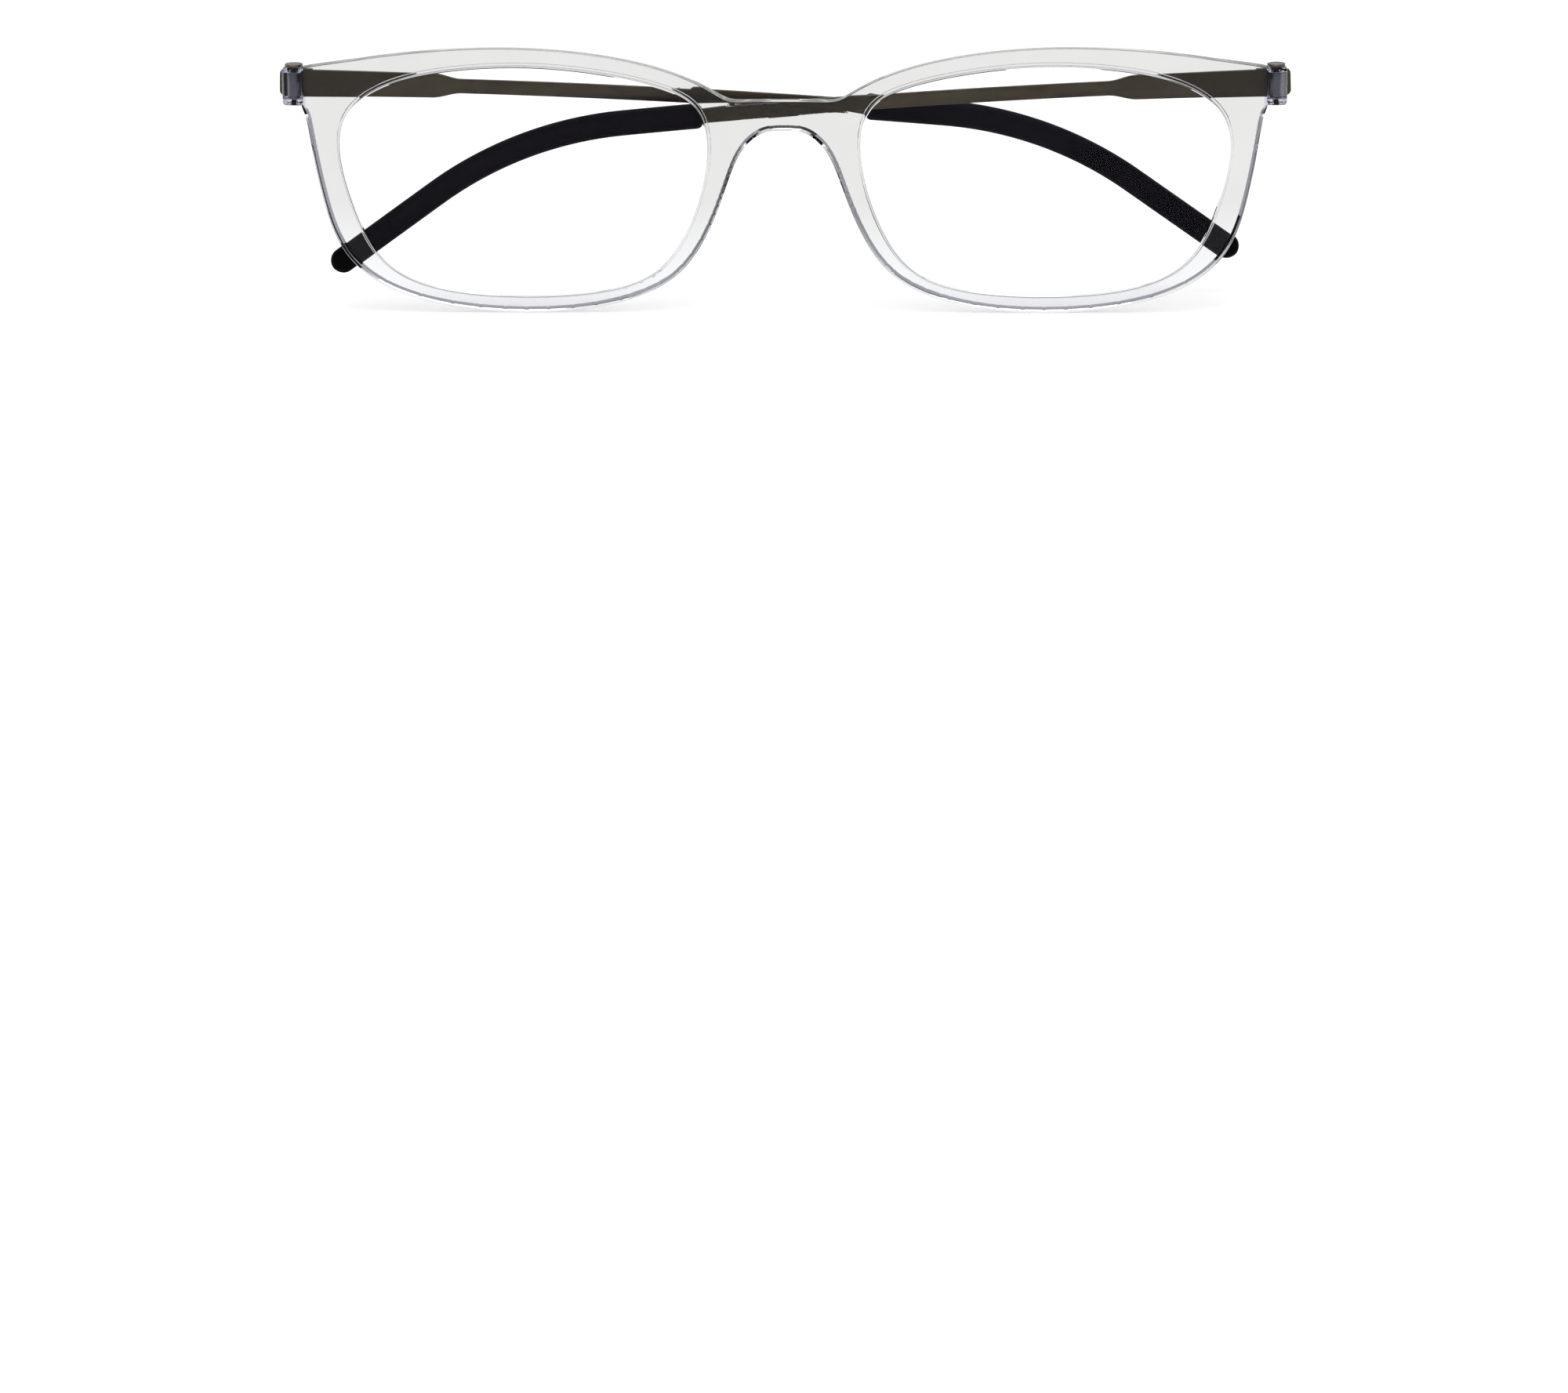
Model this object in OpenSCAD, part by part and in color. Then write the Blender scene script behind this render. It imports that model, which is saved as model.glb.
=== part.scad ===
// Folding reading glasses: a clear one-piece front, two lenses, and two sprung-steel
// temples with rubber tips that fold flat behind the front on screw-pinned hinges.
//
// Frame: millimetres, +Z up as worn, the front faces -Y, the wearer's left is +X.
// Origin: the top of the nose arch, in the middle of the front's thickness.
// The temples are drawn folded, the wearer's right one lying over the left one.

/* [Front] */
// Thickness of the moulded front
front_t = 2.2; // [1.8:0.1:3]
// Width of the groove that holds each lens
groove_w = 1.2; // [0.8:0.1:1.4]
// Depth of that groove beyond the lens opening
groove_d = 0.5; // [0.3:0.05:0.8]
// Straight pieces in each span of an outline
outline_steps = 6; // [3:1:10]

/* [Lens] */
// Gap between a lens edge and the bottom of its groove
lens_gap = 0.05; // [0.02:0.01:0.1]

/* [Hinge] */
// Distance between the two hinge pins
pin_span = 134.2; // [133.6:0.1:134.6]
// Pin axis behind the middle of the front
pin_back = 0.9; // [0.9:0.05:1.1]
// Height of the middle of the hinge above the top of the nose arch
hinge_z = 6.1; // [5.7:0.02:6.4]
// Height of the hinge block over both ears
block_h = 5.3; // [5:0.05:5.4]
// Height of the slot between the ears
slot_h = 3.7; // [3.5:0.05:3.8]
// Radius of the ears about the pin
ear_r = 1.5; // [1.4:0.05:1.7]
// Radius of the hinge screw's shank
pin_r = 0.55; // [0.4:0.05:0.6]
// Radius of the hinge screw's head
head_r = 1.25; // [1:0.05:1.4]
// Height of the hinge screw's head
head_h = 0.35; // [0.25:0.05:0.5]
// Thickness of the washer in each end of the slot
washer_h = 0.12; // [0.08:0.01:0.15]
// Radius of the temple's hinge barrel
barrel_r = 0.9; // [0.8:0.05:0.95]
// Running clearance round the shank
pin_gap = 0.05; // [0.03:0.01:0.08]

/* [Temple] */
// Thickness of the steel strip
strip_t = 0.8; // [0.6:0.05:0.9]
// Height of the wide end at the hinge
plate_h = 3.75; // [3:0.05:4]
// Height of the wide end where its shoulder starts
plate_end_h = 3.35; // [2.6:0.05:3.8]
// Distance from the pin to the shoulder
shoulder_at = 19; // [12:0.5:30]
// Length of the shoulder
shoulder_len = 4; // [2:0.5:8]
// Height of the slender part of the strip
strip_h = 1.95; // [1.4:0.05:2.4]
// Slope of the strip at the hinge, in degrees
slope_hinge = 1.65; // [0:0.05:3]
// Slope of the strip where the ear bend starts
slope_bend = 5.6; // [3.5:0.1:6]
// Distance along the strip from the pin to the ear bend
bend_at = 89.6; // [85:0.2:92]
// Radius of the ear bend
bend_r = 52.5; // [45:0.5:70]
// Slope of the tip
slope_tip = 35.9; // [30:0.1:40]
// Whole length of the temple, measured along it from the pin
temple_len = 135.3; // [132:0.1:140]
// How far the wearer's right temple stays from lying parallel to the front
rest_right = 5.1; // [3:0.1:6]
// The same for the wearer's left temple, which folds first
rest_left = 0.1; // [0:0.1:0.3]

/* [Tip sleeve] */
// Distance along the temple from the pin to the sleeve
sleeve_at = 78.5; // [76:0.5:84]
// Height of the sleeve
sleeve_h = 3.45; // [2.8:0.05:3.6]
// Thickness of the sleeve
sleeve_t = 2.4; // [1.8:0.1:2.4]
// Height of the steel core at its end, inside the sleeve
core_end_h = 1.2; // [0.8:0.1:1.6]

/* [Hidden] */
$fn = 48;

LEFT = 1;
RIGHT = -1;

// Strip face that meets the knuckle, behind the pin axis: it clears the ears all the way round.
strip_off = ear_r + 0.15;
// The slot's front and inboard walls clear the barrel.
slot_gap = 0.15;
// The front face of the front, seen from the pin axis
block_front = pin_back + front_t / 2;
// Inboard side of the hinge block, from the pin axis
block_in = 1.3;
// Front outboard corner of the block in plan, and its corners seen from the front
block_plan_r = 0.65;
block_corner_r = 0.65;
// The strip passes the pin by this much, so that its end is flush with the front when open.
strip_past = 2;
strip_corner_r = 0.8;
// Barrel height, with a running gap at each washer
end_gap = 0.03;
barrel_h = slot_h - 2 * washer_h - 2 * end_gap;
web_w = 1.1;
screw_slot_w = 0.35;
screw_slot_d = 0.18;
// The core stops short of the tip.
core_short = 4;
sleeve_corner_r = 1.1;
skin_h = sleeve_h - 0.8;
skin_t = sleeve_t - 0.9;
cut = 0.5;

// Control points of the lens opening, in the front's plane: the curve runs close inside them.
LENS = [[36, 9], [26, 8.1], [17.5, 6.3], [11.5, 3.9], [10.1, -1.5], [10.95, -8],
    [13.6, -15.2], [17.7, -20.8], [26, -23], [38, -23.4], [49, -22.3], [56.2, -18.5],
    [59.4, -10.4], [61.4, -3], [60.4, 3], [54.3, 6.8], [46, 8.4]];

// Control points of half the outer edge, from the top of the bridge round the rim to the nose arch.
EDGE = [[0, 4.05], [4, 4.05], [6.8, 3.95], [8.3, 4.4], [11.5, 6.5], [18, 9], [28, 10.85],
    [40, 11.5], [52, 10.7], [60, 9.5], [66.5, 8.75], [66.5, 8.2], [66.1, 3.8], [65.85, 2.95],
    [65.35, 2], [64.7, -2.5], [63.45, -9], [61.15, -17.2], [54.8, -22.3], [46, -24.7],
    [36, -25.5], [26, -24.9], [17.8, -22.5], [12.8, -18.8], [9.4, -12.2], [7.65, -7],
    [6, -2.6], [3, 0], [0, 0]];

// A point of a uniform cubic B-spline, t of the way along the span that starts at control point i
function spline_point(p, i, t) =
    let (n = len(p), a = p[i], b = p[(i + 1) % n], c = p[(i + 2) % n], d = p[(i + 3) % n])
    (pow(1 - t, 3) * a + (3 * pow(t, 3) - 6 * t * t + 4) * b
    + (-3 * pow(t, 3) + 3 * t * t + 3 * t + 1) * c + pow(t, 3) * d) / 6;

// A closed smooth outline from its control points
function smooth(p) =
    [for (i = [0 : len(p) - 1], k = [0 : outline_steps - 1]) spline_point(p, i, k / outline_steps)];

// Control points of the whole outer edge: half of it, then the same points mirrored, in reverse
function both_halves(p) =
    concat(p, [for (i = [len(p) - 2 : -1 : 1]) [-p[i][0], p[i][1]]]);

// A closed anticlockwise outline moved outwards by d
function grown(p, d) =
    let (n = len(p))
    [for (i = [0 : n - 1])
        let (along = p[(i + 1) % n] - p[(i + n - 1) % n])
        p[i] + d * [along[1], -along[0]] / norm(along)];

// Slope of the temple's centre line, s along it from the pin
slope_rate = (slope_bend - slope_hinge) / bend_at;
function slope(s) =
    s < bend_at ? slope_hinge + slope_rate * s
    : min(slope_bend + (s - bend_at) / bend_r * 180 / PI, slope_tip);
tip_at = bend_at + bend_r * (slope_tip - slope_bend) * PI / 180;
shank_r = 180 / PI / slope_rate;

// An arc of radius r that starts at slope a and ends at slope b
function arc(r, a, b) = r * [sin(b) - sin(a), cos(b) - cos(a)];

// Point of the centre line: a long shallow arc, the ear bend, then a straight tip
function centre(s) =
    s <= bend_at ? arc(shank_r, slope_hinge, slope(s))
    : s <= tip_at ? centre(bend_at) + arc(bend_r, slope_bend, slope(s))
    : centre(tip_at) + (s - tip_at) * [cos(slope_tip), -sin(slope_tip)];

// Outline of a band about the centre line: s runs over stations, half gives half its height at each
function band(stations, half) =
    let (side = function (i, up)
        centre(stations[i]) + up * half(stations[i]) * [sin(slope(stations[i])), cos(slope(stations[i]))])
    concat([for (i = [0 : len(stations) - 1]) side(i, 1)],
        [for (i = [len(stations) - 1 : -1 : 0]) side(i, -1)]);

// Height lost to a round corner of radius r, d from the end
function corner_loss(r, d) = d >= r ? 0 : r - sqrt(max(r * r - pow(r - d, 2), 0));

// Half the strip's height: wide plate with a round outboard end, shoulder, slender strip, thinner core
function ease(x) = (1 - cos(180 * min(max(x, 0), 1))) / 2;
core_end = temple_len - core_short;
function strip_half(s) =
    let (plate = plate_h + (plate_end_h - plate_h) * s / shoulder_at,
        drop = ease((s - shoulder_at) / shoulder_len),
        thin = ease((s - bend_at) / (core_end - bend_at)))
    ((1 - drop) * plate + drop * (strip_h + (core_end_h - strip_h) * thin)) / 2
    - corner_loss(strip_corner_r, s + strip_past);

// Half the sleeve's height: a blunt start with round corners and a fully round tip
function sleeve_half(s, h) =
    h / 2 - corner_loss(min(sleeve_corner_r, h / 2 - 0.1), s - sleeve_at) - corner_loss(h / 2, temple_len - s);

corner_steps = [0, 0.03, 0.12, 0.3, 0.6, 1];
strip_stations = concat(
    [for (k = corner_steps) -strip_past + strip_corner_r * k],
    [for (s = [2 : 4 : shoulder_at - 1]) s],
    [for (k = [0 : 0.125 : 1]) shoulder_at + shoulder_len * k],
    [for (s = [28 : 6 : 82]) s],
    [for (s = [bend_at : 2.5 : core_end - 1]) s],
    [core_end]);

function sleeve_stations(h) = concat(
    [for (k = corner_steps) sleeve_at + min(sleeve_corner_r, h / 2 - 0.1) * k],
    [for (s = [sleeve_at + 3.5 : 3 : bend_at - 1]) s],
    [for (s = [bend_at : 2 : temple_len - h / 2 - 0.5]) s],
    [for (k = [1 : -0.1 : 0.1]) temple_len - h / 2 * k * k],
    [temple_len - 0.002]);

// Stands a flat shape up in the front's plane, from y to y + t
module upright(y, t) {
    translate([0, y + t, 0])
        rotate([90, 0, 0])
            linear_extrude(t)
                children();
}

// Places what is drawn for the wearer's right hinge (pin on the Z axis, inboard +X) on either side
module at_hinge(side) {
    mirror([side == LEFT ? 1 : 0, 0, 0])
        translate([-pin_span / 2, pin_back, hinge_z])
            children();
}

// The same for a piece that turns with the temple
module on_temple(side) {
    at_hinge(side)
        rotate([0, 0, side == LEFT ? rest_left : rest_right])
            children();
}

module ring(r, hole_r, z, h) {
    translate([0, 0, z])
        difference() {
            cylinder(r = r, h = h);
            translate([0, 0, -cut])
                cylinder(r = hole_r, h = h + 2 * cut);
        }
}

// Hinge block seen from above: round ears behind the pin, a straight front wall
module block_plan() {
    circle(r = ear_r);
    translate([0, -block_front + block_plan_r])
        square([block_in, block_front - block_plan_r + ear_r]);
    translate([-ear_r + block_plan_r, -block_front])
        square([ear_r - block_plan_r + block_in, block_front]);
    translate([-ear_r, -block_front + block_plan_r])
        square([ear_r, block_front - block_plan_r]);
    translate([-ear_r + block_plan_r, -block_front + block_plan_r])
        circle(r = block_plan_r);
}

// Hinge block seen from the front, with round outboard corners
module block_face() {
    difference() {
        translate([-ear_r, -block_h / 2])
            square([ear_r + block_in, block_h]);
        for (up = [-1, 1])
            corner_waste(up);
    }
}

// The waste outside one round outboard corner of the block
module corner_waste(up) {
    difference() {
        translate([-ear_r + block_corner_r / 2 - cut / 2, up * (block_h / 2 - block_corner_r / 2 + cut / 2)])
            square([block_corner_r + cut, block_corner_r + cut], center = true);
        translate([-ear_r + block_corner_r, up * (block_h / 2 - block_corner_r)])
            circle(r = block_corner_r);
    }
}

module hinge_block() {
    intersection() {
        translate([0, 0, -block_h / 2])
            linear_extrude(block_h)
                block_plan();
        upright(-block_front - cut, block_front + ear_r + 2 * cut)
            block_face();
    }
}

// The slot that the barrel turns in, open to the back and outboard
module hinge_slot() {
    wall = barrel_r + slot_gap;
    reach = 2 * ear_r;
    translate([-reach, -wall, -slot_h / 2])
        cube([reach + wall, reach + wall, slot_h]);
}

module front_frame() {
    color([0.9, 0.9, 0.9, 0.5])
        difference() {
            union() {
                upright(-front_t / 2, front_t)
                    polygon(smooth(both_halves(EDGE)));
                for (side = [LEFT, RIGHT])
                    at_hinge(side)
                        hinge_block();
            }
            for (side = [0, 1])
                mirror([side, 0, 0]) {
                    upright(-front_t / 2 - cut, front_t + 2 * cut)
                        polygon(smooth(LENS));
                    upright(-groove_w / 2, groove_w)
                        polygon(grown(smooth(LENS), groove_d));
                }
            for (side = [LEFT, RIGHT])
                at_hinge(side) {
                    hinge_slot();
                    translate([0, 0, -block_h / 2 - cut])
                        cylinder(r = pin_r, h = block_h + 2 * cut);
                }
        }
}

module lens(side) {
    color([0.95, 0.97, 1, 0.3])
        mirror([side == LEFT ? 0 : 1, 0, 0])
            upright(-groove_w / 2, groove_w)
                polygon(grown(smooth(LENS), groove_d - lens_gap));
}

module hinge_screw(side) {
    color([0.45, 0.38, 0.3])
        at_hinge(side)
            difference() {
                union() {
                    translate([0, 0, -block_h / 2])
                        cylinder(r = pin_r, h = block_h);
                    translate([0, 0, block_h / 2])
                        cylinder(r = head_r, h = head_h);
                }
                translate([-2 * head_r, -screw_slot_w / 2, block_h / 2 + head_h - screw_slot_d])
                    cube([4 * head_r, screw_slot_w, head_h]);
            }
}

module washer(side, z) {
    color([0.8, 0.8, 0.82])
        at_hinge(side)
            ring(barrel_r, pin_r, z, washer_h);
}

module hinge_knuckle(side) {
    color([0.4, 0.38, 0.36])
        on_temple(side)
            translate([0, 0, -barrel_h / 2])
                difference() {
                    union() {
                        cylinder(r = barrel_r, h = barrel_h);
                        translate([-web_w / 2, 0, 0])
                            cube([web_w, strip_off, barrel_h]);
                    }
                    translate([0, 0, -cut])
                        cylinder(r = pin_r + pin_gap, h = barrel_h + 2 * cut);
                }
}

module strip_shape() {
    polygon(band(strip_stations, function (s) strip_half(s)));
}

module temple_strip(side) {
    color([0.25, 0.23, 0.2])
        on_temple(side)
            upright(strip_off, strip_t)
                strip_shape();
}

module sleeve_shape(h) {
    polygon(band(sleeve_stations(h), function (s) sleeve_half(s, h)));
}

// The sleeve: a tall thin layer through a lower, thicker one, with the steel core's pocket in it
module tip_sleeve(side) {
    middle = strip_off + strip_t / 2;
    color([0.06, 0.06, 0.06])
        on_temple(side)
            difference() {
                union() {
                    upright(middle - skin_t / 2, skin_t)
                        sleeve_shape(sleeve_h);
                    upright(middle - sleeve_t / 2, sleeve_t)
                        sleeve_shape(skin_h);
                }
                upright(strip_off, strip_t)
                    strip_shape();
            }
}

front_frame();
lens(LEFT);  // lens_left
lens(RIGHT);  // lens_right
hinge_screw(LEFT);  // hinge_screw_left
hinge_screw(RIGHT);  // hinge_screw_right
washer(LEFT, slot_h / 2 - washer_h);  // upper_washer_left
washer(RIGHT, slot_h / 2 - washer_h);  // upper_washer_right
washer(LEFT, -slot_h / 2);  // lower_washer_left
washer(RIGHT, -slot_h / 2);  // lower_washer_right
hinge_knuckle(LEFT);  // hinge_knuckle_left
hinge_knuckle(RIGHT);  // hinge_knuckle_right
temple_strip(LEFT);  // temple_strip_left
temple_strip(RIGHT);  // temple_strip_right
tip_sleeve(LEFT);  // tip_sleeve_left
tip_sleeve(RIGHT);  // tip_sleeve_right
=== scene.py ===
"""Folding reading glasses: the looks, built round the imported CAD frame."""
import math

import bmesh
import bpy
from mathutils import Matrix, Vector


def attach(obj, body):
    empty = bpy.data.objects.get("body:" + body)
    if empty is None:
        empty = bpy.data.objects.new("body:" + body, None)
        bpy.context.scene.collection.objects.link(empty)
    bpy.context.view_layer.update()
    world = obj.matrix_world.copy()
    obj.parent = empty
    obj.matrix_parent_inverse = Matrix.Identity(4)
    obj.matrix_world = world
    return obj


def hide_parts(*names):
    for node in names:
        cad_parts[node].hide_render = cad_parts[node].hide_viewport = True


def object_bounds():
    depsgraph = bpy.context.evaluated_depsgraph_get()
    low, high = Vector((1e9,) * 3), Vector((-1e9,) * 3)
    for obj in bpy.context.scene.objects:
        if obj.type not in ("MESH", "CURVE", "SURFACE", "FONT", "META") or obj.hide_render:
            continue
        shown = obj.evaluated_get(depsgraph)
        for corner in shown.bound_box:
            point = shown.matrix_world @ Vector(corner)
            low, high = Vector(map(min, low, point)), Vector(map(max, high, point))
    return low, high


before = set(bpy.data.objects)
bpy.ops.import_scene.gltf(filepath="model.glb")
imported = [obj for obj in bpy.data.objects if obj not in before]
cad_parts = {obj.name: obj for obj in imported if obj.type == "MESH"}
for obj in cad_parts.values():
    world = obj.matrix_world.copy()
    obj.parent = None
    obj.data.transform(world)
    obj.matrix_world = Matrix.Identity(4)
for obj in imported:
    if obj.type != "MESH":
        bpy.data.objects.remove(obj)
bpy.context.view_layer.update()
MM = 0.001
# The wearer's sides, with the sign of X on each
SIDES = {"left": 1, "right": -1}

# ---------------------------------------------------------------- dimensions, in millimetres

FRONT_T = 2.2
PIN_X, PIN_Y, PIN_Z = 67.1, 0.9, 6.1
BLOCK_H, BLOCK_FRONT, BLOCK_IN, EAR_R = 5.3, 2.0, 1.3, 1.5
SLOT_H, SLOT_R = 3.7, 1.05
PIN_R, HEAD_R, HEAD_H = 0.55, 1.25, 0.35
WASHER_T = 0.12
BARREL_R, BARREL_H, WEB_W = 0.9, 3.4, 1.1
STRIP_Y, STRIP_T = 1.65, 0.8
# How far each folded temple is turned away from the front, in degrees
REST = {"left": 0.1, "right": 5.1}
# Steps of each span of an outline, and the sharpest bend that is shaded smooth, in degrees
CURVE_STEPS = 20
SMOOTH_ANGLE = 32

# Control points of the lens opening and of half the outer edge, as (x, z) in the front's plane
LENS = [(36, 9), (26, 8.1), (17.5, 6.3), (11.5, 3.9), (10.1, -1.5), (10.95, -8), (13.6, -15.2),
        (17.7, -20.8), (26, -23), (38, -23.4), (49, -22.3), (56.2, -18.5), (59.4, -10.4),
        (61.4, -3), (60.4, 3), (54.3, 6.8), (46, 8.4)]
EDGE = [(0, 4.05), (4, 4.05), (6.8, 3.95), (8.3, 4.4), (11.5, 6.5), (18, 9), (28, 10.85),
        (40, 11.5), (52, 10.7), (60, 9.5), (66.5, 8.75), (66.5, 8.2), (66.1, 3.8), (65.85, 2.95),
        (65.35, 2), (64.7, -2.5), (63.45, -9), (61.15, -17.2), (54.8, -22.3), (46, -24.7),
        (36, -25.5), (26, -24.9), (17.8, -22.5), (12.8, -18.8), (9.4, -12.2), (7.65, -7),
        (6, -2.6), (3, 0), (0, 0)]


# ---------------------------------------------------------------- small maths

def ease(x):
    """0 to 1, smoothly."""
    x = min(max(x, 0.0), 1.0)
    return x * x * (3 - 2 * x)


def spline(points, steps):
    """A closed uniform cubic B-spline through the neighbourhood of its control points."""
    out = []
    n = len(points)
    for i in range(n):
        a, b, c, d = (Vector(points[(i + k) % n]) for k in range(4))
        for k in range(steps):
            t = k / steps
            out.append(((1 - t) ** 3 * a + (3 * t ** 3 - 6 * t * t + 4) * b
                        + (-3 * t ** 3 + 3 * t * t + 3 * t + 1) * c + t ** 3 * d) / 6)
    return out


def outward(points):
    """Outward unit normals of a closed outline, whichever way it runs."""
    n = len(points)
    area = sum(points[i].cross(points[(i + 1) % n]) for i in range(n))
    flip = 1 if area > 0 else -1
    normals = []
    for i in range(n):
        along = (points[(i + 1) % n] - points[i - 1]).normalized()
        normals.append(Vector((along.y, -along.x)) * flip)
    return normals


def fillet(r, steps):
    """(inset, depth) pairs down a rounded edge, from the flat to the wall."""
    pairs = []
    for k in range(steps + 1):
        a = math.pi / 2 * k / steps
        pairs.append((r * (1 - math.sin(a)), r * (1 - math.cos(a))))
    return pairs


def rounded(height, r, steps):
    """(inset, height) pairs up a wall that is rounded at both ends."""
    low = [(inset, deep - height / 2) for inset, deep in fillet(r, steps)]
    return low + [(inset, -h) for inset, h in low[::-1]]


def half_wave(x):
    """0 to 1 along half a cosine."""
    return (1 - math.cos(math.pi * min(max(x, 0), 1))) / 2


# ---------------------------------------------------------------- mesh helpers

def add_ring(bm, points):
    """A row of vertices at points in millimetres."""
    return [bm.verts.new(Vector(p) * MM) for p in points]


def bridge(bm, rings):
    for low, high in zip(rings, rings[1:]):
        n = len(low)
        for i in range(n):
            bm.faces.new((low[i], low[(i + 1) % n], high[(i + 1) % n], high[i]))


def close_ends(bm, rings):
    bm.faces.new(rings[0])
    bm.faces.new(rings[-1])


def loop_edges(bm, ring):
    return [bm.edges.get((ring[i], ring[(i + 1) % len(ring)])) for i in range(len(ring))]


def shade_smooth(mesh, angle=SMOOTH_ANGLE):
    for poly in mesh.polygons:
        poly.use_smooth = True
    mesh.set_sharp_from_angle(angle=math.radians(angle))


def finish_mesh(bm, name, smooth_angle=SMOOTH_ANGLE):
    bmesh.ops.recalc_face_normals(bm, faces=bm.faces[:])
    mesh = bpy.data.meshes.new(name)
    bm.to_mesh(mesh)
    bm.free()
    shade_smooth(mesh, smooth_angle)
    piece = bpy.data.objects.new(name, mesh)
    bpy.context.scene.collection.objects.link(piece)
    return piece


def weighted(piece):
    mod = piece.modifiers.new("weighted_normals", "WEIGHTED_NORMAL")
    mod.mode = "FACE_AREA"
    mod.weight = 100
    mod.keep_sharp = True


def apply_modifiers(piece):
    """Bakes the modifiers into the mesh."""
    graph = bpy.context.evaluated_depsgraph_get()
    mesh = bpy.data.meshes.new_from_object(piece.evaluated_get(graph))
    old = piece.data
    piece.modifiers.clear()
    piece.data = mesh
    mesh.name = old.name
    bpy.data.meshes.remove(old)


def boolean(piece, tool, operation):
    mod = piece.modifiers.new("boolean", "BOOLEAN")
    mod.operation = operation
    mod.solver = "EXACT"
    mod.object = tool
    apply_modifiers(piece)
    bpy.data.objects.remove(tool)


def weld(piece, gap=0.003):
    """Merges the tiny edges that a boolean leaves."""
    bm = bmesh.new()
    bm.from_mesh(piece.data)
    bmesh.ops.remove_doubles(bm, verts=bm.verts, dist=gap * MM)
    bmesh.ops.dissolve_degenerate(bm, edges=bm.edges, dist=gap * MM)
    bm.to_mesh(piece.data)
    bm.free()


def prism(name, outline, profile, place):
    """A closed outline stacked along a profile of (inset, height), with flat ends."""
    bm = bmesh.new()
    normals = outward(outline)
    rings = []
    for inset, height in profile:
        rings.append(add_ring(bm, [place(p - n * inset, height)
                                   for p, n in zip(outline, normals)]))
    bridge(bm, rings)
    close_ends(bm, rings)
    return finish_mesh(bm, name)


def arc_points(centre, r, start, end, steps):
    """Points along an arc, the angles in degrees."""
    return [Vector((centre[0] + r * math.cos(math.radians(start + (end - start) * k / steps)),
                    centre[1] + r * math.sin(math.radians(start + (end - start) * k / steps))))
            for k in range(steps + 1)]


def at_hinge(side):
    """Places a point drawn for the right hinge, about its pin and inboard +X, on either side."""
    sign = -SIDES[side]
    return lambda p, z: (sign * (p[0] - PIN_X), p[1] + PIN_Y, z + PIN_Z)


def on_temple(side):
    """The same for a piece that turns with the temple."""
    angle = math.radians(REST[side])
    place = at_hinge(side)

    def put(p, z):
        x = p[0] * math.cos(angle) - p[1] * math.sin(angle)
        y = p[0] * math.sin(angle) + p[1] * math.cos(angle)
        return place((x, y), z)
    return put


# ---------------------------------------------------------------- materials

def new_material(name):
    mat = bpy.data.materials.new(name)
    mat.use_nodes = True
    return mat, mat.node_tree, mat.node_tree.nodes["Principled BSDF"]


def noise(tree, coords, scale, detail, stretch=(1, 1, 1)):
    """A cloud of values, mostly from 0.3 to 0.7, over the piece's own coordinates in metres."""
    mapping = tree.nodes.new("ShaderNodeMapping")
    mapping.inputs["Scale"].default_value = stretch
    tree.links.new(coords.outputs["Object"], mapping.inputs["Vector"])
    tex = tree.nodes.new("ShaderNodeTexNoise")
    tex.inputs["Scale"].default_value = scale
    tex.inputs["Detail"].default_value = detail
    tree.links.new(mapping.outputs["Vector"], tex.inputs["Vector"])
    return tex.outputs["Fac"]


def ranged(tree, source, low, high, src_low=0.3, src_high=0.7):
    """Maps src_low..src_high to low..high, and holds the ends."""
    node = tree.nodes.new("ShaderNodeMapRange")
    node.inputs["From Min"].default_value = src_low
    node.inputs["From Max"].default_value = src_high
    node.inputs["To Min"].default_value = low
    node.inputs["To Max"].default_value = high
    tree.links.new(source, node.inputs["Value"])
    return node.outputs["Result"]


def ramp(tree, source, low, high):
    """Mixes two colours, or outputs of other nodes."""
    node = tree.nodes.new("ShaderNodeMix")
    node.data_type = "RGBA"
    for end, colour in (("A", low), ("B", high)):
        if isinstance(colour, tuple):
            node.inputs[end].default_value = (*colour, 1)
        else:
            tree.links.new(colour, node.inputs[end])
    tree.links.new(source, node.inputs["Factor"])
    return node.outputs["Result"]


def cloudy(tree, cloud, low, high):
    """Two colours mixed by a cloud of noise."""
    return ramp(tree, ranged(tree, cloud, 0, 1), low, high)


def math_node(tree, operation, *sources):
    node = tree.nodes.new("ShaderNodeMath")
    node.operation = operation
    for socket, source in zip(node.inputs, sources):
        tree.links.new(source, socket)
    return node.outputs["Value"]


def split_xyz(tree, vector):
    node = tree.nodes.new("ShaderNodeSeparateXYZ")
    tree.links.new(vector, node.inputs["Vector"])
    return node.outputs


def bump(tree, source, distance, strength):
    node = tree.nodes.new("ShaderNodeBump")
    node.inputs["Distance"].default_value = distance
    node.inputs["Strength"].default_value = strength
    tree.links.new(source, node.inputs["Height"])
    return node.outputs["Normal"]


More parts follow.
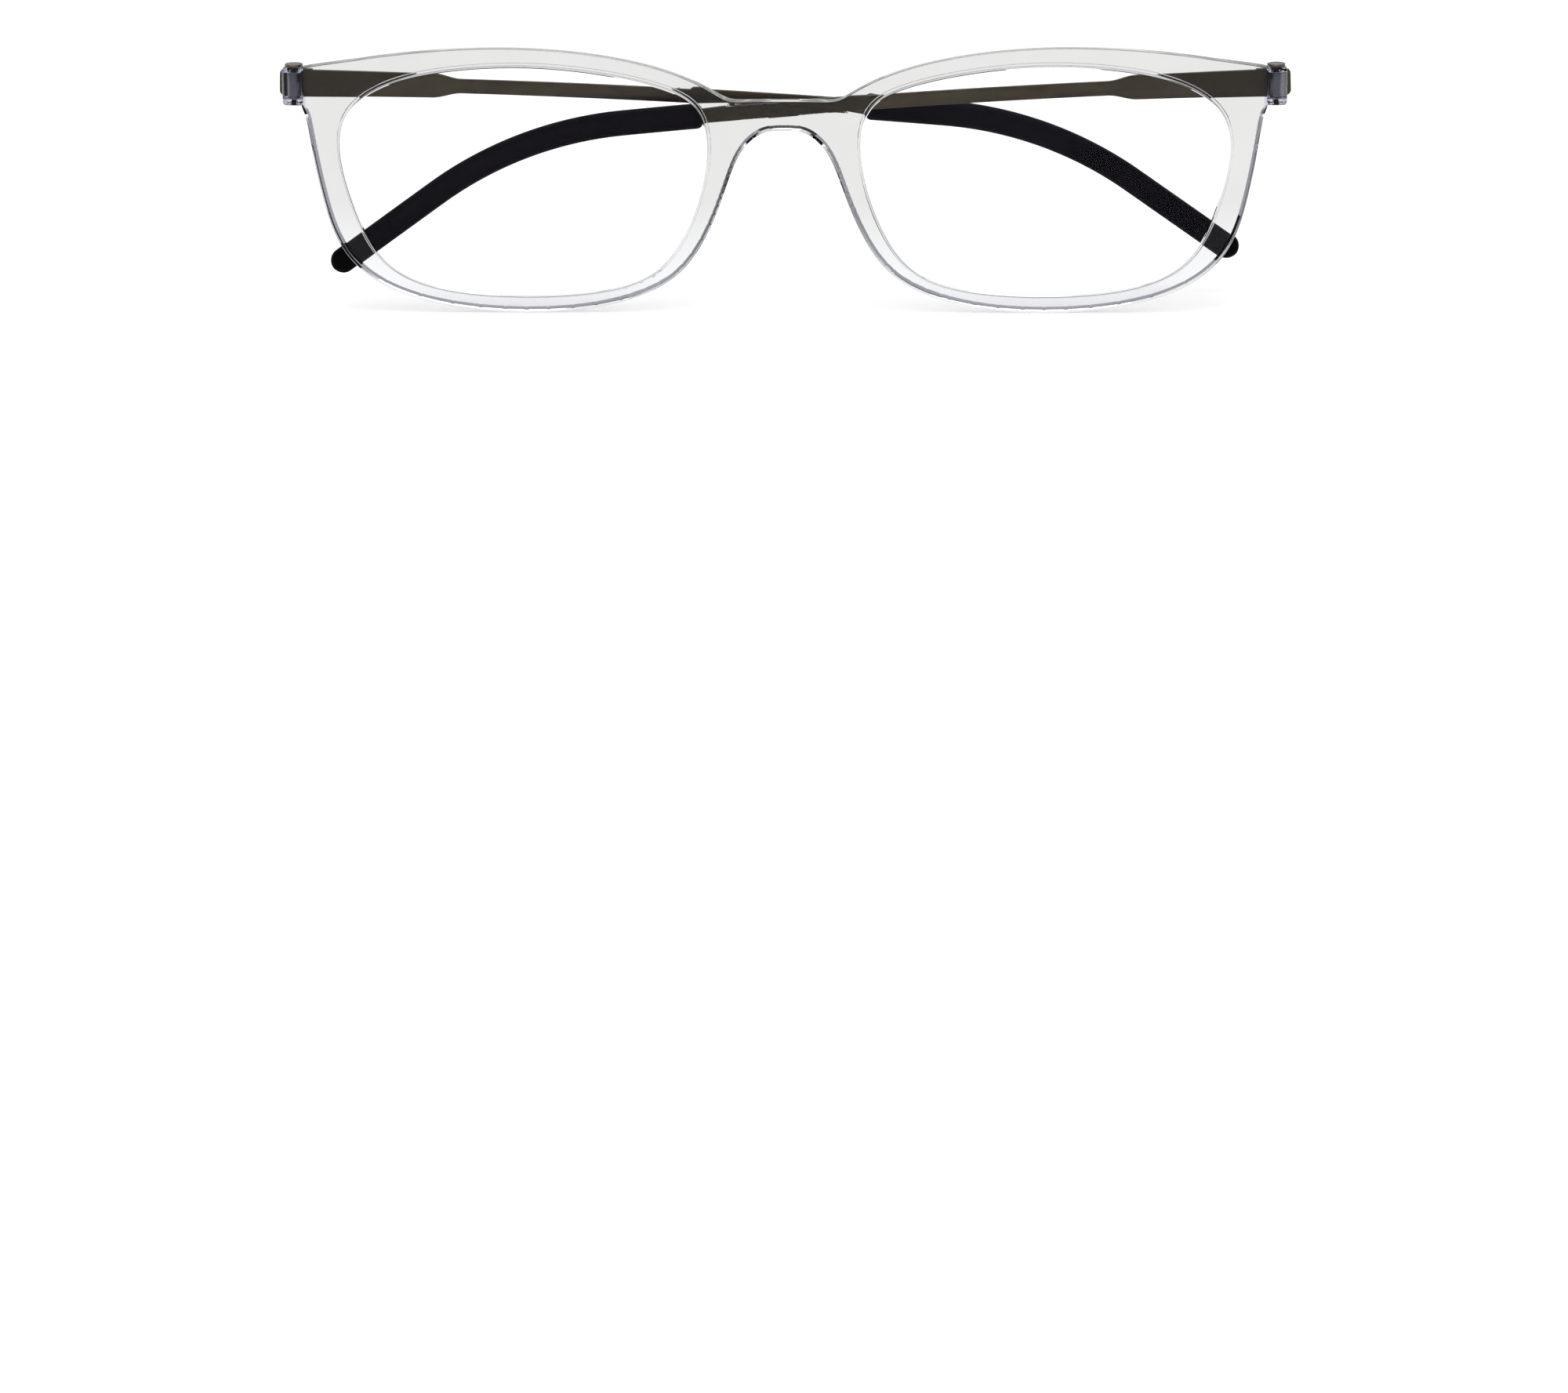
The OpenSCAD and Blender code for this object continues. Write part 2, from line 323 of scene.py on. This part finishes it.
def clear_plastic():
    """Clear, with a faint grey tint; painted dark mauve shade along the back chamfer, a painted
    mauve reflection in the hinge blocks, and painted light towards the bottom of the rim.
    """
    grey_low, grey_high, bottom_painted_light = (0.675, 0.678, 0.668), (0.70, 0.70, 0.69), (0.87, 0.875, 0.895)
    block_painted_reflection, chamfer_painted_shade = (0.52, 0.52, 0.6), (0.13, 0.13, 0.165)
    mat, tree, bsdf = new_material("clear_plastic")
    coords = tree.nodes.new("ShaderNodeTexCoord")
    flat = cloudy(tree, noise(tree, coords, 90, 2), grey_low, grey_high)
    smear = noise(tree, coords, 420, 4)
    # The chamfer faces the back more than the drafted wall does, and less than the flat. Normals
    # are turned over where a face is seen from inside, so the sign is left out.
    facing = math_node(tree, "ABSOLUTE", split_xyz(tree, coords.outputs["Normal"])["Y"])
    chamfer = math_node(tree, "MULTIPLY", ranged(tree, facing, 0, 1, 0.6, 0.72),
                        ranged(tree, facing, 1, 0, 0.88, 0.96))
    # It lies behind the middle of the front, and ends where the hinge blocks begin.
    place = split_xyz(tree, coords.outputs["Object"])
    behind = ranged(tree, place["Y"], 0, 1, 0.3 * MM, 0.4 * MM)
    off_centre = math_node(tree, "ABSOLUTE", place["X"])
    on_rim = ranged(tree, off_centre, 1, 0, 65.4 * MM, 65.6 * MM)
    chamfer = math_node(tree, "MULTIPLY", chamfer, math_node(tree, "MULTIPLY", behind, on_rim))
    # The rim turns clearer towards the bottom.
    # Painted light: the rim's colour turns lighter and bluer towards the bottom, to offset the
    # floor's shade seen through it.
    low = ranged(tree, place["Z"], 1, 0, -22 * MM, -10 * MM)
    flat = ramp(tree, low, flat, bottom_painted_light)
    # Painted reflection: the deep hinge blocks are tinted darker mauve all through, for the
    # mauve-grey surroundings they reflect inside.
    flat = ramp(tree, on_rim, block_painted_reflection, flat)
    # Painted shade: a dark mauve band along the back chamfer, for the dark surroundings seen
    # through the edge.
    tree.links.new(ramp(tree, chamfer, flat, chamfer_painted_shade), bsdf.inputs["Base Color"])
    tree.links.new(ranged(tree, smear, 0.0, 0.03), bsdf.inputs["Roughness"])
    bsdf.inputs["Transmission Weight"].default_value = 1
    bsdf.inputs["IOR"].default_value = 1.49
    bsdf.inputs["Specular Tint"].default_value = (0.2, 0.2, 0.22, 1)
    return mat


def lens_plastic():
    """Colourless, with little shine."""
    mat, tree, bsdf = new_material("lens")
    film = noise(tree, tree.nodes.new("ShaderNodeTexCoord"), 60, 3)
    tree.links.new(cloudy(tree, film, (0.985, 0.99, 0.995), (1, 1, 1)), bsdf.inputs["Base Color"])
    tree.links.new(ranged(tree, film, 0.0, 0.008), bsdf.inputs["Roughness"])
    bsdf.inputs["Transmission Weight"].default_value = 1
    bsdf.inputs["IOR"].default_value = 1.5
    bsdf.inputs["Specular Tint"].default_value = (0.08, 0.07, 0.1, 1)
    return mat


def brushed_steel():
    """Dark gunmetal, brushed lengthwise."""
    mat, tree, bsdf = new_material("dark_steel")
    coords = tree.nodes.new("ShaderNodeTexCoord")
    grain = noise(tree, coords, 2600, 3, (0.06, 1, 1))
    cloud = noise(tree, coords, 160, 3)
    tree.links.new(cloudy(tree, cloud, (0.049, 0.041, 0.027), (0.062, 0.053, 0.036)),
                   bsdf.inputs["Base Color"])
    tree.links.new(ranged(tree, grain, 0.34, 0.5), bsdf.inputs["Roughness"])
    tree.links.new(bump(tree, grain, 0.01 * MM, 0.35), bsdf.inputs["Normal"])
    bsdf.inputs["Metallic"].default_value = 1
    return mat


def turned_steel(name, low, high, rough, bright_above):
    """Turned metal, darkened with painted shade below a height."""
    painted_shade_below, fade = (0.03, 0.027, 0.024), 0.02
    mat, tree, bsdf = new_material(name)
    coords = tree.nodes.new("ShaderNodeTexCoord")
    rings = noise(tree, coords, 6000, 2, (0.1, 0.1, 1))
    colour = cloudy(tree, rings, low, high)
    bright = ranged(tree, split_xyz(tree, coords.outputs["Object"])["Z"], 0, 1,
                    bright_above * MM, (bright_above + fade) * MM)
    tree.links.new(ramp(tree, bright, painted_shade_below, colour), bsdf.inputs["Base Color"])
    tree.links.new(ranged(tree, rings, rough - 0.05, rough + 0.08), bsdf.inputs["Roughness"])
    bsdf.inputs["Metallic"].default_value = 1
    return mat


def washer_plastic():
    """Pale plastic."""
    mat, tree, bsdf = new_material("washer_plastic")
    mottle = noise(tree, tree.nodes.new("ShaderNodeTexCoord"), 900, 2)
    tree.links.new(ramp(tree, mottle, (0.62, 0.62, 0.65), (0.75, 0.75, 0.77)),
                   bsdf.inputs["Base Color"])
    bsdf.inputs["Roughness"].default_value = 0.45
    return mat


def black_rubber():
    """Matte rubber with a fine grain and faint wear."""
    mat, tree, bsdf = new_material("black_rubber")
    coords = tree.nodes.new("ShaderNodeTexCoord")
    skin = noise(tree, coords, 5200, 3)
    wear = noise(tree, coords, 240, 3)
    tree.links.new(cloudy(tree, wear, (0.0008, 0.0008, 0.0009), (0.0012, 0.0012, 0.0013)),
                   bsdf.inputs["Base Color"])
    tree.links.new(ranged(tree, wear, 0.52, 0.6), bsdf.inputs["Roughness"])
    tree.links.new(bump(tree, skin, 0.01 * MM, 0.08), bsdf.inputs["Normal"])
    bsdf.inputs["Specular IOR Level"].default_value = 0.03
    return mat


# The screw is bright on its head only, its shank darkened with painted shade; the knuckle, which is
# above zero, is bright all over.
HEAD_FROM = PIN_Z + BLOCK_H / 2 - 0.05
MATERIALS = {
    "clear_plastic": clear_plastic(),
    "lens": lens_plastic(),
    "dark_steel": brushed_steel(),
    "knuckle_steel": turned_steel("knuckle_steel", (0.2, 0.2, 0.19), (0.26, 0.26, 0.245), 0.2, 0),
    "screw_metal": turned_steel("screw_metal", (0.15, 0.125, 0.1), (0.21, 0.18, 0.145), 0.3,
                                HEAD_FROM),
    "washer_plastic": washer_plastic(),
    "black_rubber": black_rubber(),
}


def dress(piece, slot, body, *nodes):
    """Gives a piece its material, its body and the CAD nodes that it stands for."""
    piece.data.materials.clear()
    piece.data.materials.append(MATERIALS[slot])
    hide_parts(*nodes)
    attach(piece, body)


# ---------------------------------------------------------------- the front

# The rim is drawn this much inside the CAD outline, whose straight pieces cut its curve.
SKIN = 0.006
RIM_FRONT = [(inset + SKIN, deep - FRONT_T / 2) for inset, deep in fillet(0.1, 4)]
# The drafted wall ends at the first of these, and the chamfer behind it at the second.
RIM_BACK = [(0.24, 0.8), (0.59, FRONT_T / 2)]
# The lens opening's wall, then a fine line moulded round it on the back
HOLE_EDGE = rounded(FRONT_T, 0.12, 4)
HOLE_EDGE += [(0.32, FRONT_T / 2), (0.38, FRONT_T / 2 - 0.06), (0.44, FRONT_T / 2)]


def back_chamfer(p, n):
    """How much of the back's chamfer the edge has: little along the top and by the hinges."""
    near_hinge = ease((abs(p.x) - 63) / 2.5) * ease((p.y - 2) / 2)
    return max(0.06, (1 - ease((n.y + 0.05) / 0.5)) * (1 - near_hinge))


def lens_outline(sign):
    return spline([Vector((sign * p[0], p[1])) for p in LENS], CURVE_STEPS)


def build_front():
    """The one-piece front: rims, bridge and hinge blocks."""
    half = [Vector(p) for p in EDGE]
    outline = spline(half + [Vector((-p.x, p.y)) for p in half[-2:0:-1]], CURVE_STEPS)
    normals = outward(outline)
    bm = bmesh.new()
    rings = []
    for inset, y in RIM_FRONT:
        rings.append(add_ring(bm, [((p - n * inset).x, y, (p - n * inset).y)
                                   for p, n in zip(outline, normals)]))
    for inset, y in RIM_BACK:
        row = []
        for p, n in zip(outline, normals):
            share = back_chamfer(p, n)
            q = p - n * inset * share
            row.append((q.x, FRONT_T / 2 - (FRONT_T / 2 - y) * share, q.y))
        rings.append(add_ring(bm, row))
    bridge(bm, rings)
    front_loops, back_loops = loop_edges(bm, rings[0]), loop_edges(bm, rings[-1])
    for sign in SIDES.values():
        hole = lens_outline(sign)
        normals = outward(hole)
        rings = []
        for inset, y in HOLE_EDGE:
            rings.append(add_ring(bm, [((p + n * inset).x, y, (p + n * inset).y)
                                       for p, n in zip(hole, normals)]))
        bridge(bm, rings)
        front_loops += loop_edges(bm, rings[0])
        back_loops += loop_edges(bm, rings[-1])
    for loops in (front_loops, back_loops):
        bmesh.ops.triangle_fill(bm, use_beauty=True, use_dissolve=False, edges=loops)
    piece = finish_mesh(bm, "front_shell")
    for side in SIDES:
        boolean(piece, build_block(side), "UNION")
        weld(piece)
        boolean(piece, build_slot(side), "DIFFERENCE")
        boolean(piece, build_screw_hole(side), "DIFFERENCE")
        weld(piece)
    shade_smooth(piece.data)
    weighted(piece)
    return piece


def build_block(side):
    """Hinge block: round ears behind the pin, straight front wall, all its rims rounded."""
    corner = 0.65
    # The wall stands a hair behind the front's plane: two faces in one plane don't join cleanly.
    wall = -BLOCK_FRONT + 0.004
    plan = arc_points((0, 0), EAR_R, math.degrees(math.acos(BLOCK_IN / EAR_R)), 180, 24)
    plan += arc_points((-EAR_R + corner, wall + corner), corner, 180, 270, 10)
    plan.append(Vector((BLOCK_IN, wall)))
    return prism("block", plan, rounded(BLOCK_H, 0.5, 8), at_hinge(side))


def build_slot(side):
    """The space between the block's ears, open to the outside and to the back."""
    far = 2 * EAR_R
    plan = [Vector(p) for p in ((SLOT_R, -SLOT_R), (-far, -SLOT_R), (-far, far), (SLOT_R, far))]
    return prism("slot", plan, [(0, -SLOT_H / 2), (0, SLOT_H / 2)], at_hinge(side))


def build_screw_hole(side):
    plan = arc_points((0, 0), PIN_R, 0, 360, 40)[:-1]
    return prism("hole", plan, [(0, -BLOCK_H), (0, BLOCK_H)], at_hinge(side))


def build_lens(side):
    """A thin meniscus, the front bulging a little, with a small air gap to the rim."""
    hole = lens_outline(SIDES[side])
    normals = outward(hole)
    middle = sum(hole, Vector((0, 0))) / len(hole)
    gap, steps = 0.05, 14
    # Half the thickness on the faces and on the wall, and the corner's width between them
    face_y, wall_y, corner = 0.6, 0.53, 0.08
    bulge_front, bulge_back, bulge_r = 0.35, 0.3, 26
    bm = bmesh.new()

    def ring(scale, inset, y0, bulge):
        row = []
        for p, n in zip(hole, normals):
            q = middle + (p - n * (gap + inset) - middle) * scale
            r = (q - middle).length / bulge_r
            row.append((q.x, y0 - bulge * (1 - r * r), q.y))
        return add_ring(bm, row)

    front = [ring(k / steps, corner, -face_y, bulge_front) for k in range(1, steps + 1)]
    back = [ring(k / steps, corner, face_y, bulge_back) for k in range(steps, 0, -1)]
    wall = [ring(1, 0, -wall_y, bulge_front), ring(1, 0, wall_y, bulge_back)]
    bridge(bm, front + wall + back)
    for near, y in ((front[0], -face_y - bulge_front), (back[-1], face_y - bulge_back)):
        centre = bm.verts.new(Vector((middle.x, y, middle.y)) * MM)
        for i in range(len(near)):
            bm.faces.new((near[i], near[(i + 1) % len(near)], centre))
    return finish_mesh(bm, f"lens_pane_{side}")


# ---------------------------------------------------------------- the hinge

def lathe(name, rows, place, hollow=False):
    """Turned piece: rows of (radius, height) up from the bottom, or round a ring's section."""
    steps = 48
    bm = bmesh.new()
    rings = []
    for r, z in rows:
        rings.append(add_ring(bm, [place((r * math.cos(2 * math.pi * k / steps),
                                          r * math.sin(2 * math.pi * k / steps)), z)
                                   for k in range(steps)]))
    if hollow:
        bridge(bm, rings + rings[:1])
    else:
        bridge(bm, rings)
        close_ends(bm, rings)
    return finish_mesh(bm, name)


def build_screw(side):
    """Slotted cheese-head screw with a threaded end."""
    low, top = -BLOCK_H / 2, BLOCK_H / 2
    crest, root, pitch, thread_len = PIN_R - 0.02, PIN_R - 0.09, 0.12, 0.7
    rows = [(PIN_R - 0.1, low), (crest, low + 0.08)]
    z = low + 0.1
    while z < low + thread_len:
        rows += [(crest, z), (root, z + pitch / 2)]
        z += pitch
    rows += [(crest, z), (crest, top)]
    edge, wall_h, flat_r, steps = 0.05, 0.16, 0.25, 8
    rows += [(HEAD_R - edge, top), (HEAD_R, top + edge), (HEAD_R, top + wall_h)]
    for k in range(1, steps + 1):
        a = math.pi / 2 * k / steps
        rows.append((flat_r + (HEAD_R - flat_r) * math.cos(a) ** 0.8,
                     top + wall_h + (HEAD_H - wall_h) * math.sin(a)))
    piece = lathe(f"screw_{side}", rows, at_hinge(side))
    far, half_w, depth = 2, 0.17, 0.2
    slit = [Vector(p) for p in ((-far, -half_w), (far, -half_w), (far, half_w), (-far, half_w))]
    tool = prism("slit", slit, [(0, top + HEAD_H - depth), (0, top + far)], at_hinge(side))
    boolean(piece, tool, "DIFFERENCE")
    piece.data.set_sharp_from_angle(angle=math.radians(SMOOTH_ANGLE))
    return piece


def build_washer(side, level):
    z = (SLOT_H / 2 - WASHER_T) if level == "upper" else -SLOT_H / 2
    edge = 0.03
    rows = [(PIN_R, z), (BARREL_R - edge, z), (BARREL_R, z + edge),
            (BARREL_R, z + WASHER_T - edge), (BARREL_R - edge, z + WASHER_T), (PIN_R, z + WASHER_T)]
    return lathe(f"washer_{level}_{side}", rows, at_hinge(side), hollow=True)


def build_knuckle(side):
    """Barrel bored for the pin, with the web that welds it to the strip."""
    half = WEB_W / 2
    start = math.degrees(math.acos(half / BARREL_R))
    plan = arc_points((0, 0), BARREL_R, 180 - start, 360 + start, 40)
    plan += [Vector((half, STRIP_Y)), Vector((-half, STRIP_Y))]
    piece = prism(f"knuckle_{side}", plan, rounded(BARREL_H, 0.12, 4), on_temple(side))
    play = 0.05
    bore = arc_points((0, 0), PIN_R + play, 0, 360, 40)[:-1]
    tool = prism("bore", bore, [(0, -BARREL_H), (0, BARREL_H)], on_temple(side))
    boolean(piece, tool, "DIFFERENCE")
    piece.data.set_sharp_from_angle(angle=math.radians(SMOOTH_ANGLE))
    return piece


# ---------------------------------------------------------------- the temples

# Slopes of the centre line in degrees, then places along it, measured from the pin
SLOPE_HINGE, SLOPE_BEND, SLOPE_TIP = 1.65, 5.6, 35.9
BEND_AT, BEND_R, LENGTH, CORE_END = 89.6, 52.5, 135.3, 131.3
SLEEVE_AT, SLEEVE_H, SLEEVE_T = 78.5, 3.45, 2.4
SHOULDER_AT, SHOULDER_LEN = 19, 4
# The strip's height at the pin, before the shoulder, after it, and what it loses to the tip
PIN_H, PLATE_H, SHANK_H, SHANK_LOSS = 3.75, 3.35, 1.95, 0.75


def slope(s):
    """Slope of the temple's centre line in degrees, s along it from the pin."""
    if s < BEND_AT:
        return SLOPE_HINGE + (SLOPE_BEND - SLOPE_HINGE) * s / BEND_AT
    return min(SLOPE_BEND + math.degrees((s - BEND_AT) / BEND_R), SLOPE_TIP)


def centre_line(stations):
    """Points of the centre line, stepped along in short straight pieces."""
    points = {}
    x = z = at = 0.0
    step = 0.05
    for s in sorted(stations):
        while abs(s - at) > 1e-9:
            d = max(-step, min(step, s - at))
            a = math.radians(slope(at + d / 2))
            x, z, at = x + d * math.cos(a), z - d * math.sin(a), at + d
        points[s] = Vector((x, z))
    return points


def strip_half(s):
    """Half the strip's height, s along it from the pin."""
    plate = PIN_H + (PLATE_H - PIN_H) * s / SHOULDER_AT
    drop = half_wave((s - SHOULDER_AT) / SHOULDER_LEN)
    thin = half_wave((s - BEND_AT) / (CORE_END - BEND_AT))
    return ((1 - drop) * plate + drop * (SHANK_H - SHANK_LOSS * thin)) / 2


def round_section(half_y, half_n, r, steps):
    """Rounded rectangle, (y, n) about its middle."""
    r = min(r, half_y - 0.002, half_n - 0.002)
    points = []
    for cy, cn, start in ((1, 1, 0), (-1, 1, 90), (-1, -1, 180), (1, -1, 270)):
        for k in range(steps + 1):
            a = math.radians(start + 90 * k / steps)
            points.append((cy * (half_y - r) + r * math.cos(a),
                           cn * (half_n - r) + r * math.sin(a)))
    return points


def sweep(name, side, sections, y_mid):
    """Skins sections, each (s, points of (y, n)), along the temple's centre line."""
    line = centre_line([s for s, _ in sections])
    place = on_temple(side)
    bm = bmesh.new()
    rings = []
    for s, section in sections:
        a = math.radians(slope(s))
        c = line[s]
        rings.append(add_ring(bm, [place((c.x + n * math.sin(a), y_mid + y), c.y + n * math.cos(a))
                                   for y, n in section]))
    bridge(bm, rings)
    close_ends(bm, rings)
    return finish_mesh(bm, name, smooth_angle=40)


def spaced(start, end, step):
    count = max(1, round((end - start) / step))
    return [start + (end - start) * k / count for k in range(count + 1)]


def build_strip(side):
    """Sprung-steel strip: a wide plate with round corners, a shoulder, a slender shank."""
    corner, start, edge = 0.8, -2.0, 0.12
    sections = []
    for k in range(9):
        a = math.pi / 2 * k / 8
        s = start + corner * (1 - math.cos(a))
        half = strip_half(s) - corner * (1 - math.sin(a))
        sections.append((s, round_section(STRIP_T / 2, half, edge, 3)))
    for s in spaced(start + corner + 0.4, CORE_END, 0.5):
        sections.append((s, round_section(STRIP_T / 2, strip_half(s), edge, 3)))
    return sweep(f"strip_{side}", side, sections, STRIP_Y + STRIP_T / 2)


def build_sleeve(side):
    """Rubber sleeve: oval section, a soft rim where the strip goes in, a round tip."""
    half_y, half_n, corner, steps = SLEEVE_T / 2, SLEEVE_H / 2, 1.0, 6
    rim, rim_y = 0.9, 0.6
    sections = []
    for k in range(1, 9):
        a = math.pi / 2 * k / 8
        drop = 1 - math.sin(a)
        s = SLEEVE_AT + rim * (1 - math.cos(a))
        sections.append((s, round_section(half_y - rim_y * drop, half_n - rim * drop,
                                          corner, steps)))
    for s in spaced(SLEEVE_AT + rim + 0.5, LENGTH - half_n, 0.6):
        sections.append((s, round_section(half_y, half_n, corner, steps)))
    for k in range(1, 12):
        a = math.pi / 2 * k / 12
        sections.append((LENGTH - half_n + half_n * math.sin(a),
                         round_section(half_y * math.cos(a) ** 0.6, half_n * math.cos(a),
                                       corner, steps)))
    return sweep(f"sleeve_{side}", side, sections, STRIP_Y + STRIP_T / 2)


dress(build_front(), "clear_plastic", "front", "front_frame")
for side in SIDES:
    temple = f"{side}_temple"
    dress(build_lens(side), "lens", "front", f"lens_{side}")
    dress(build_screw(side), "screw_metal", "front", f"hinge_screw_{side}")
    for level in ("upper", "lower"):
        dress(build_washer(side, level), "washer_plastic", "front", f"{level}_washer_{side}")
    dress(build_knuckle(side), "knuckle_steel", temple, f"hinge_knuckle_{side}")
    dress(build_strip(side), "dark_steel", temple, f"temple_strip_{side}")
    dress(build_sleeve(side), "black_rubber", temple, f"tip_sleeve_{side}")


# ---------------------------------------------------------------- floor, light and camera

def build_floor():
    """A pale floor under the rims. It glows a little, so that it shows white."""
    mesh = bpy.data.meshes.new("floor")
    z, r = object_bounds()[0].z, 6.0
    mesh.from_pydata([(-r, -r, z), (r, -r, z), (r, r, z), (-r, r, z)], [], [(0, 1, 2, 3)])
    floor = bpy.data.objects.new("floor", mesh)
    bpy.context.scene.collection.objects.link(floor)
    mat, _, bsdf = new_material("pale_floor")
    bsdf.inputs["Base Color"].default_value = (0.8, 0.8, 0.8, 1)
    bsdf.inputs["Roughness"].default_value = 0.9
    bsdf.inputs["Specular IOR Level"].default_value = 0.1
    bsdf.inputs["Emission Color"].default_value = (1, 1, 1, 1)
    bsdf.inputs["Emission Strength"].default_value = 0.4
    mesh.materials.append(mat)


def build_world():
    """A white tent with grey sides, of which the camera itself sees only plain white."""
    world = bpy.data.worlds.new("studio")
    bpy.context.scene.world = world
    world.use_nodes = True
    tree = world.node_tree
    ray = split_xyz(tree, tree.nodes.new("ShaderNodeTexCoord").outputs["Generated"])
    sideways = math_node(tree, "ABSOLUTE", ray["X"])
    ends = ranged(tree, sideways, 1, 0, 0.35, 0.8)
    roof = ranged(tree, ray["Z"], 0, 1, 0.1, 0.8)
    tent = ramp(tree, math_node(tree, "MAXIMUM", ends, roof), (0.26, 0.26, 0.3), (1, 1, 1))
    seen = tree.nodes.new("ShaderNodeLightPath").outputs["Is Camera Ray"]
    tree.links.new(ramp(tree, seen, tent, (1, 1, 1)), tree.nodes["Background"].inputs["Color"])


def build_light():
    """A large soft lamp above, a little in front."""
    light = bpy.data.lights.new("key", "AREA")
    light.shape = "RECTANGLE"
    light.size = light.size_y = 0.7
    light.energy = 1.5
    lamp = bpy.data.objects.new("key", light)
    lamp.location = (0.1, -0.35, 1.1)
    lamp.rotation_euler = (-lamp.location).to_track_quat("-Z", "Y").to_euler()
    bpy.context.scene.collection.objects.link(lamp)


def build_camera():
    """Above the front and a little to the wearer's left of it, through a long lens."""
    data = bpy.data.cameras.new("camera")
    data.lens = 200
    data.sensor_width = 36
    data.clip_start = 0.05
    data.clip_end = 50
    camera = bpy.data.objects.new("camera", data)
    # It stands turned and raised about the target, and points this far below it.
    turn, raised, below, roll = (math.radians(a) for a in (3, 10, 3.72, -0.53))
    target, distance = Vector((-0.64, -FRONT_T / 2, 0.1)) * MM, 1.191
    out = Vector((math.sin(turn) * math.cos(raised), -math.cos(turn) * math.cos(raised),
                  math.sin(raised)))
    camera.location = target + distance * out
    camera.rotation_euler = (Matrix.Rotation(turn, 3, "Z")
                             @ Matrix.Rotation(math.pi / 2 - raised - below, 3, "X")
                             @ Matrix.Rotation(roll, 3, "Z")).to_euler()
    bpy.context.scene.collection.objects.link(camera)
    bpy.context.scene.camera = camera


build_floor()
build_world()
build_light()
build_camera()
bpy.context.scene.view_settings.view_transform = "Standard"
